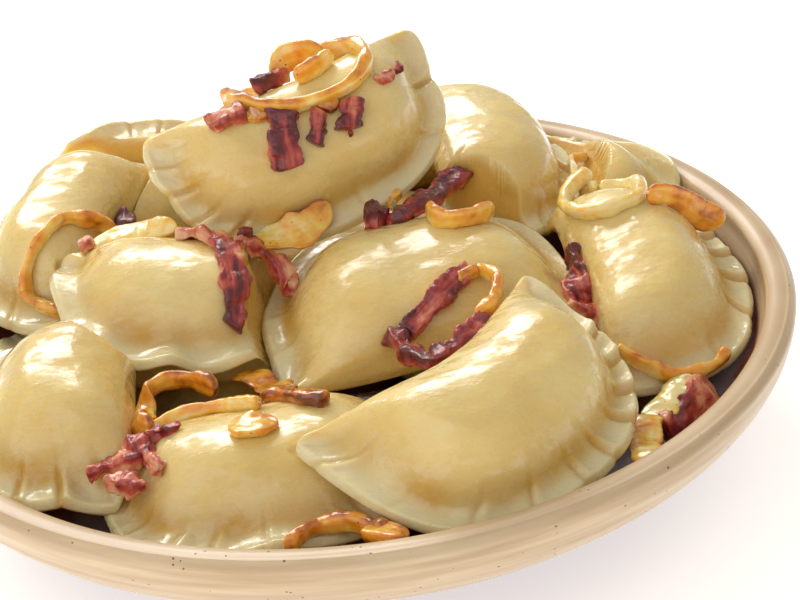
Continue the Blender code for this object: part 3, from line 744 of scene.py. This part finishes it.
# Smaller bits, which are joined into one piece.
BACON_BITS = (
    (((17, 30, 97), (20, 32, 96), (23, 34, 96)), 3.5, 2.5, 0.3, 0.6, 0),
    (((23, 37, 96), (26, 39, 96)), 3.5, 2.5, 0.5, 0.6, 0),
    (((-18, 23, 91), (-15, 24, 92)), 3.5, 3, 0.2, 0.3, 0),
    (((8, 18, 87), (9, 17, 86)), 2.5, 2, 0.7, 0.8, 0),
    (((-26, 9, 64), (-22, 9, 63)), 4, 3, 0.8, 0.9, 0),
    (((-70, 15, 61), (-66, 15, 62)), 4.5, 4, 0.15, 0.3, 0),
    (((66, 22, 57), (69, 21, 57)), 4, 3, 0.8, 0.9, 0),
    (((-50, -64, 49), (-46, -66, 51), (-42, -68, 53)), 4, 3, 0.5, 0.5, 30),
)


def through(places, count):
    """Even points of a smooth curve through places: cubic pieces whose tangents are central
    differences."""
    places = np.array(places, float) * MM
    knots = np.concatenate([[0], np.cumsum(np.linalg.norm(np.diff(places, axis=0), axis=1))])
    tangents = np.gradient(places, knots, axis=0)
    t = np.linspace(0, knots[-1], 10 * count)
    i = np.clip(np.searchsorted(knots, t, "right") - 1, 0, len(knots) - 2)
    span = (knots[i + 1] - knots[i])[:, None]
    s = (t - knots[i])[:, None] / span
    curve = (1 + 2 * s) * (1 - s) ** 2 * places[i] + s * (1 - s) ** 2 * span * tangents[i]
    curve += s ** 2 * (3 - 2 * s) * places[i + 1] - s ** 2 * (1 - s) * span * tangents[i + 1]
    run = np.concatenate([[0], np.cumsum(np.linalg.norm(np.diff(curve, axis=0), axis=1))])
    return np.stack([np.interp(np.linspace(0, run[-1], count), run, axis) for axis in curve.T], 1)


def settled(path, stiff):
    """The path moved onto the surfaces that it passes near or through, and the way up at each of its
    points: the surface's normal there, and upright where nothing is near. A stiff strip is moved as a
    whole."""
    gap = np.full(len(path), 2 * REACH)
    normals = np.tile((0.0, 0.0, 1.0), (len(path), 1))
    for ground in grounds:
        for i, point in enumerate(path):
            place, normal, _, _ = ground.find_nearest(Vector(point), 3 * REACH)
            if place and normal.z > OVERHANG and (Vector(point) - place).dot(normal) < gap[i]:
                gap[i], normals[i] = (Vector(point) - place).dot(normal), normal
    hold = smoothstep(REACH, REACH / 3, gap)[:, None]
    moved = np.concatenate([normals * hold * gap[:, None], normals * hold + [0, 0, 1] * (1 - hold)], 1)
    reach = STIFF_EASE if stiff else EASE
    padded = np.pad(moved, ((reach, reach), (0, 0)), mode="edge")
    window = np.ones(2 * reach + 1) / (2 * reach + 1)
    moved = np.stack([np.convolve(column, window, "valid") for column in padded.T], 1)
    return path - moved[:, :3], moved[:, 3:]


def strip_skin(name, seed, count, places, width, depth, fried, power, end, rough,
               twist=0, cup=0, rind=0, slant=0):
    """A strip along a path. Its section is a superellipse of the width and depth, bent up at its sides
    by the cup and turned by the twist; it closes round at both ends, which are cut on a slant, and
    noise of three sizes makes it uneven. Each point keeps where it is along, across and up the strip,
    and how far it is fried, which the rind adds to at the section's long ends."""
    path, up = settled(through(places, count), stiff=cup > 0)
    width, depth = width * MM, depth * MM
    along = np.gradient(path, axis=0)
    along /= np.linalg.norm(along, axis=1)[:, None]
    across = np.cross(up, along)
    across /= np.linalg.norm(across, axis=1)[:, None]
    up = np.cross(along, across)
    run = np.concatenate([[0], np.cumsum(np.linalg.norm(np.diff(path, axis=0), axis=1))])
    close = round_over(np.minimum(run, run[-1] - run), min(end * MM, 0.5 * run[-1]))[:, None]
    full = THIN_END + (1 - THIN_END) * close
    swing = 1 + rough[0] * lumps(np.stack([run, 0 * run, 0 * run], 1), SWAY_SIZE, seed)[:, None]
    angle = np.linspace(0, 2 * math.pi, SECTION_POINTS + 1)[:-1]
    c, s = np.cos(angle), np.sin(angle)
    side = np.sign(c) * np.abs(c) ** (2 / power) * width / 2 * (close if width >= depth else full) * swing
    rise = np.sign(s) * np.abs(s) ** (2 / power) * depth / 2 * (full if width >= depth else close) * swing
    high = rise + cup * MM * (2 * side / width) ** 2
    turn = np.radians(twist) * (run / run[-1] - 0.5)[:, None]
    x = side * np.cos(turn) - high * np.sin(turn)
    y = side * np.sin(turn) + high * np.cos(turn) + depth / 2 - SINK
    out = across[:, None] * c[:, None] + up[:, None] * s[:, None]
    points = path[:, None] + across[:, None] * x[..., None] + up[:, None] * y[..., None]
    share = 2 * run / run[-1] - 1
    ends = slant * np.random.default_rng(seed).uniform(-1, 1, 2)
    slants = np.interp(share, (-1, 1), ends) * np.abs(share) ** 3
    points = points + along[:, None] * (side * slants[:, None])[..., None]
    knob = rough[1] * lumps(points, KNOB_SIZE, seed + 1) + rough[2] * lumps(points, CRUMB_SIZE, seed + 2)
    points = points + out * (knob * MM * full)[..., None]
    piece = closed_skin(name, points[0].mean(0), points, points[-1].mean(0))
    grain = np.stack([run[:, None] + 0 * side, side, rise], -1)
    grain = np.concatenate([grain[0].mean(0)[None], grain.reshape(-1, 3), grain[-1].mean(0)[None]])
    stored = piece.data.attributes.new("grain", "FLOAT_VECTOR", "POINT").data
    stored.foreach_set("vector", grain.astype(np.float32).ravel())
    edge = np.maximum(np.abs(c if width >= depth else s) ** (2 / power), 1 - close)
    brown = np.interp(run, (0, run[-1]), fried)[:, None] + rind * smoothstep(0.7, 1.0, edge)
    mark(piece, "fried", np.concatenate([[brown[0].mean()], brown.ravel(), [brown[-1].mean()]]))
    return piece


def browning_group():
    """How brown a fried piece is: its own share, made uneven by streaks along its grain and by patches.
    The streaks and patches are put out too, for the relief and the shine."""
    inputs = {"Fried": "Float", "Grain": "Vector", "Place": "Vector"}
    for kind in ("Streak", "Patch"):
        inputs.update(dict.fromkeys((kind + " Fineness", kind + " Detail", kind + " Strength"), "Float"))
    outputs = dict.fromkeys(("Level", "Streak", "Patch"), "Float")
    group, start, end = new_group("browning", inputs, outputs)
    add, link, work_out = tree_tools(group)
    level = start["Fried"]
    for kind, place in (("Streak", "Grain"), ("Patch", "Place")):
        noise = add("TexNoise", Vector=start[place], Scale=start[kind + " Fineness"],
                    Detail=start[kind + " Detail"]).outputs["Fac"]
        level = work_out("MULTIPLY_ADD", work_out("SUBTRACT", noise, 0.5), start[kind + " Strength"], level)
        link(noise, end[kind])
    link(level, end["Level"])
    return group


def browned(add, place, stretch, streaks, patches):
    """The browning of a material: its grain stretched, and the fineness, detail and strength of its
    streaks and patches."""
    grain = add("Attribute", attribute_name="grain").outputs["Vector"]
    group = add("Group", node_tree=browning, Fried=add("Attribute", attribute_name="fried").outputs["Fac"],
                Grain=add("Mapping", Vector=grain, Scale=stretch).outputs["Vector"], Place=place)
    for kind, values in (("Streak", streaks), ("Patch", patches)):
        for name, value in zip(("Fineness", "Detail", "Strength"), values):
            group.inputs[f"{kind} {name}"].default_value = value
    return group.outputs


def bacon_material():
    """Fried bacon: lean from burgundy to red in grains along the strip, streaks of pink fat, and a
    greasy shine."""
    material, shader, add, link, work_out = new_material("bacon")
    place = add("TexCoord").outputs["Object"]
    brown = browned(add, place, (0.3, 1.8, 1.2), (230.0, 5.0, 2.2), (150.0, 3.0, 1.6))
    tone = colour_ramp(add, brown["Level"], (0.0, (0.84, 0.48, 0.27)), (0.25, (0.76, 0.28, 0.14)),
                       (0.5, (0.56, 0.09, 0.05)), (0.75, (0.33, 0.024, 0.024)), (1.0, (0.13, 0.008, 0.011)))
    link(tone, shader.inputs["Base Color"])
    fine = add("TexNoise", Vector=place, Scale=1000.0, Detail=3.0).outputs["Fac"]
    relief = work_out("MULTIPLY_ADD", brown["Streak"], 2.0, fine)
    bump = add("Bump", Strength=0.8, Distance=0.4 * MM, Height=relief)
    link(bump.outputs["Normal"], shader.inputs["Normal"])
    shine = add("MapRange", Value=fine, To_Min=0.2, To_Max=0.5)
    link(shine.outputs[0], shader.inputs["Roughness"])
    set_values(shader, Coat_Weight=0.5, Coat_Roughness=0.1, Subsurface_Weight=0.15,
               Subsurface_Radius=(1.0, 0.3, 0.2), Subsurface_Scale=1.5 * MM)
    return material


def add_strips(kind, strips, bits, make):
    """Every strip of a kind in place of its solid, and the bits joined into one more piece."""
    made = []
    for seed, (name, row) in enumerate(strips.items(), 1):
        made.append(make(f"{name}_fried", seed, STRIP_POINTS, *row))
        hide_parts(name)
    small = [make(f"{kind}_bits", seed, BIT_POINTS, *row) for seed, row in enumerate(bits, BIT_SEED)]
    with bpy.context.temp_override(active_object=small[0], selected_editable_objects=small):
        bpy.ops.object.join()
    for piece in made + small[:1]:
        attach(piece, "root")


def bacon_strip(name, seed, count, places, width, depth, start, stop, twist):
    """A strip with square edges, ragged all over, whose ends are cut on a slant."""
    piece = strip_skin(name, 100 + seed, count, places, width, depth, (start, stop), power=5, end=1.0,
                       rough=(0.28, 1.0, 0.5), twist=twist, slant=0.8)
    piece.data.materials.append(bacon)
    return piece


grounds = [BVHTree.FromObject(piece, bpy.context.evaluated_depsgraph_get()) for piece in bpy.data.objects
           if piece.name.endswith("_dough") or piece.name == "stoneware_bowl"]
browning = browning_group()
bacon = bacon_material()
add_strips("bacon", BACON, BACON_BITS, bacon_strip)


# ---- Onion ----
# Half rings, petals and strips of onion, fried soft. They are cloudy yellow and let light through, with
# brown edges and specks where they touched the pan.

# Places along the underside, width and depth (mm); how brown it is at its two ends, from 0 for pale to
# 1 for dark brown; how long its rounded ends are, and how far its sides are cupped (mm).
ONION = {
    "onion_01": (((-25, 37, 92), (-22, 30, 92), (-15, 25, 93), (-6, 24, 93), (4, 25, 95), (12, 30, 97),
                  (15, 38, 98), (12, 46, 98), (5, 50, 97), (-3, 50, 96)), 4, 5.5, 0.35, 0.2, 2, 0),
    "onion_02": (((-24, 12, 60), (-15, 11, 60), (-7, 12, 62), (0, 16, 67)), 11, 3, 0.15, 0.35, 14, 2),
    "onion_03": (((-64, 34, 56), (-68, 31, 62), (-74, 30, 64), (-81, 22, 63), (-85, 17, 57), (-86, 16, 51),
                  (-82, 10, 48), (-76, 5, 46)), 3.5, 5, 0.3, 0.25, 2, 0),
    "onion_04": (((-68, 14, 58), (-60, 12, 60), (-51, 11, 61), (-43, 9, 62)), 3.5, 8, 0.0, 0.1, 12, 0),
    "onion_05": (((76, 26, 60), (70, 22, 60), (67, 14, 59), (70, 4, 60), (77, -1, 61), (84, 2, 61),
                  (86, 10, 61), (82, 19, 60), (77, 20, 60)), 3.5, 4.5, 0.0, -0.1, 2, 0),
    "onion_06": (((86, 0, 62), (93, 2, 60), (100, 4, 55), (107, 4, 50)), 2.5, 7.5, 0.4, 0.5, 4, 0),
    "onion_07": (((69, -43, 45), (73, -47, 42), (80, -50, 39), (88, -50, 38), (95, -46, 38), (99, -43, 39)),
                 3, 4.5, 0.25, 0.3, 1.5, 0),
    "onion_08": (((-30, -73, 54), (-24, -75, 54), (-18, -74, 54)), 9, 3, 0.15, 0.2, 5, 1),
    "onion_09": (((-18, -106, 39), (-16, -102, 40), (-9, -99, 40), (-1, -102, 40), (5, -108, 41)),
                 3.5, 5, 0.4, 0.5, 2, 0),
    "onion_10": (((-10, 75, 75), (-20, 81, 72), (-31, 82, 65), (-41, 78, 61)), 3, 6, 0.4, 0.5, 2, 0),
    "onion_11": (((-11, 44, 94), (-7, 46, 96), (-3, 46, 97), (2, 46, 96), (5, 43, 94)),
                 3, 8, 0.1, 0.3, 10, 0),
    "onion_12": (((-5, 34, 95), (1, 36, 96), (7, 40, 97)), 3, 6, 0.25, 0.2, 3, 0),
    "onion_13": (((27, 5, 63), (29, 0, 62), (34, -3, 62), (39, -1, 61), (43, 5, 60)),
                 3, 6, 0.3, 0.45, 2, 0),
    "onion_14": (((72, -66, 37), (70, -79, 39), (67, -91, 42)), 8, 2.5, 0.3, 0.3, 2, 0),
    "onion_15": (((87, -52, 39), (80, -59, 37), (74, -66, 36)), 8, 2, -0.1, -0.1, 2, 0),
    "onion_16": (((-34, -44, 45), (-39, -39, 45), (-46, -37, 45), (-52, -41, 45), (-55, -49, 45),
                  (-54, -57, 46), (-49, -61, 47)), 3, 6, 0.5, 0.45, 2, 0),
    "onion_17": (((-49, -61, 47), (-43, -59, 48), (-36, -59, 49), (-27, -62, 51), (-22, -64, 53)),
                 3, 4, 0.4, 0.25, 2, 0),
    "onion_18": (((-22, -52, 48), (-17, -58, 51), (-13, -63, 52), (-6, -68, 53)), 5, 4, 0.5, 0.85, 2, 0),
    "onion_19": (((30, -26, 60), (37, -22, 60), (41, -29, 60), (39, -38, 58), (34, -44, 57)),
                 3.5, 5, 0.4, 0.3, 2, 0),
}
ONION_BITS = (
    (((16, 20, 63), (21, 19, 64)), 6, 4, 0.2, 0.2, 2, 0),
    (((76, 20, 60), (73, 31, 57), (74, 46, 54), (76, 57, 52), (81, 59, 51)), 2, 3, 0.0, 0.0, 1, 0),
    (((-30, -30, 42), (-25, -34, 44), (-20, -44, 46), (-15, -53, 50)), 9, 1.5, 0.55, 0.6, 6, 0.5),
    (((0, -105, 40), (5, -110, 42), (9, -113, 43)), 6, 4, 0.4, 0.5, 3, 1),
    (((-20, 24, 92), (-16, 23, 92), (-13, 24, 93)), 4, 3, 0.5, 0.6, 2, 0),
    (((0, 27, 93), (3, 25, 93), (6, 24, 92)), 5, 3, 0.4, 0.6, 2, 0),
)


def onion_material():
    """Fried onion: cloudy yellow with fibres along it, going amber and brown in patches and at the
    rims, with a few dark specks and an oily shine."""
    material, shader, add, link, _ = new_material("onion")
    place = add("TexCoord").outputs["Object"]
    brown = browned(add, place, (0.15, 1.5, 1.5), (480.0, 3.0, 0.6), (170.0, 4.0, 1.6))
    tone = colour_ramp(add, brown["Level"], (0.0, (0.95, 0.75, 0.32)), (0.22, (0.93, 0.58, 0.09)),
                       (0.5, (0.85, 0.36, 0.025)), (0.75, (0.52, 0.15, 0.012)), (1.0, (0.18, 0.035, 0.006)))
    soot = add("Group", node_tree=specks, Place=place, Fineness=520.0, Size=0.15, Cloud_Fineness=260.0,
               Least_Cloud=0.57).outputs["Speck"]
    specked = add("Mix", data_type="RGBA", Factor=soot, A=tone, B=(0.35, 0.10, 0.02, 1))
    link(specked.outputs["Result"], shader.inputs["Base Color"])
    bump = add("Bump", Strength=0.5, Distance=0.25 * MM, Height=brown["Streak"])
    link(bump.outputs["Normal"], shader.inputs["Normal"])
    shine = add("MapRange", Value=brown["Patch"], To_Min=0.12, To_Max=0.35)
    link(shine.outputs[0], shader.inputs["Roughness"])
    set_values(shader, Coat_Weight=0.8, Coat_Roughness=0.1, Subsurface_Weight=0.6,
               Subsurface_Radius=(1.0, 0.45, 0.1), Subsurface_Scale=3 * MM)
    return material


def onion_strip(name, seed, count, places, width, depth, start, stop, end, cup):
    """A soft, nearly oval strip, smoother than bacon, with browner sides."""
    piece = strip_skin(name, 300 + seed, count, places, width, depth, (start, stop), power=2.6, end=end,
                       rough=(0.2, 0.35, 0.12), cup=cup, rind=0.22)
    piece.data.materials.append(onion)
    return piece


onion = onion_material()
add_strips("onion", ONION, ONION_BITS, onion_strip)
